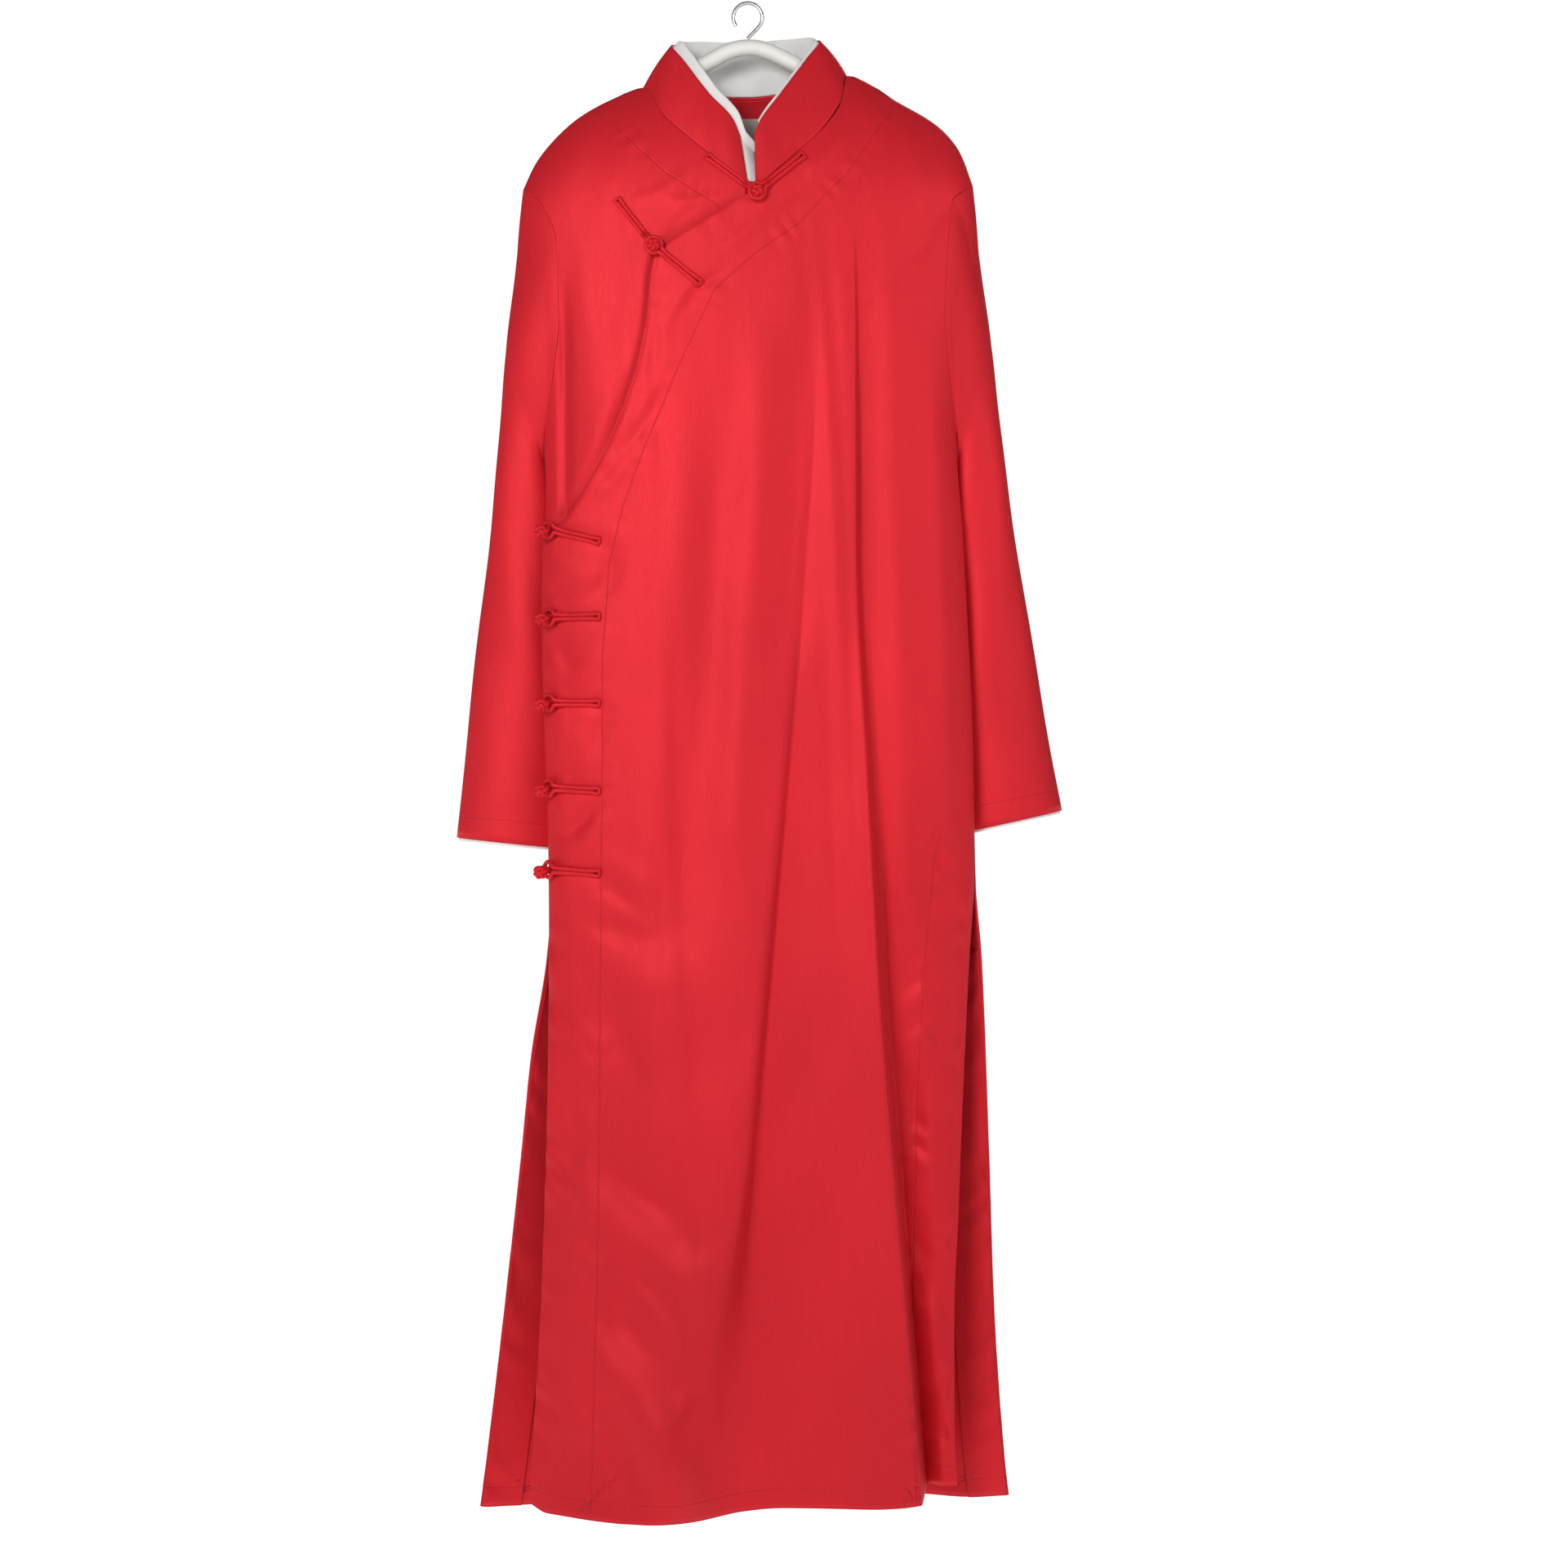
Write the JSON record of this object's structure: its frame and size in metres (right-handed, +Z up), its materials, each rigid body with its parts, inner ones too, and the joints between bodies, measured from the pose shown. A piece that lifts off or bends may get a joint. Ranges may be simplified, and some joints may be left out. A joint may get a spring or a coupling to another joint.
{
  "type": "chinese long robe on a hanger",
  "caption": "Long satin robe with a stand collar, a curved side-fastening front, knotted frog buttons and side slits, hanging from a plain hanger.",
  "frame": {"origin": "where the rail bears in the hanger's hook: the top of the inside of the hook", "axes": "+Z up, +X towards the wearer's left (the right-hand side of a front view), +Y towards the back of the robe, so the front faces -Y; Y = 0 is the plane of the hanger and of the shoulder seams"},
  "size_m": [0.5826, 0.1512, 1.4342],
  "materials": {
    "satin": "soft red satin with a low sheen",
    "trim": "red satin cord",
    "cotton": "matt white cotton",
    "tape": "plain beige woven tape",
    "hanger_plastic": "white moulded plastic",
    "hook_wire": "white coated wire"
  },
  "bodies": {
    "root": {"front_panel": "satin", "inner_panel": "satin", "back_panel": "satin", "right_sleeve": "satin", "left_sleeve": "satin", "right_cuff_lining": "cotton", "left_cuff_lining": "cotton", "collar": "satin", "collar_lining": "cotton", "right_slit_facing": "satin", "left_slit_facing": "satin", "neck_label": "tape", "frog_collar_loop": "trim", "frog_collar_knot": "trim", "frog_chest_loop": "trim", "frog_chest_knot": "trim", "frog_side_1_loop": "trim", "frog_side_1_knot": "trim", "frog_side_2_loop": "trim", "frog_side_2_knot": "trim", "frog_side_3_loop": "trim", "frog_side_3_knot": "trim", "frog_side_4_loop": "trim", "frog_side_4_knot": "trim", "frog_side_5_loop": "trim", "frog_side_5_knot": "trim", "hanger_arms": "hanger_plastic", "hanger_hook": "hook_wire"}
  },
  "joints": []
}
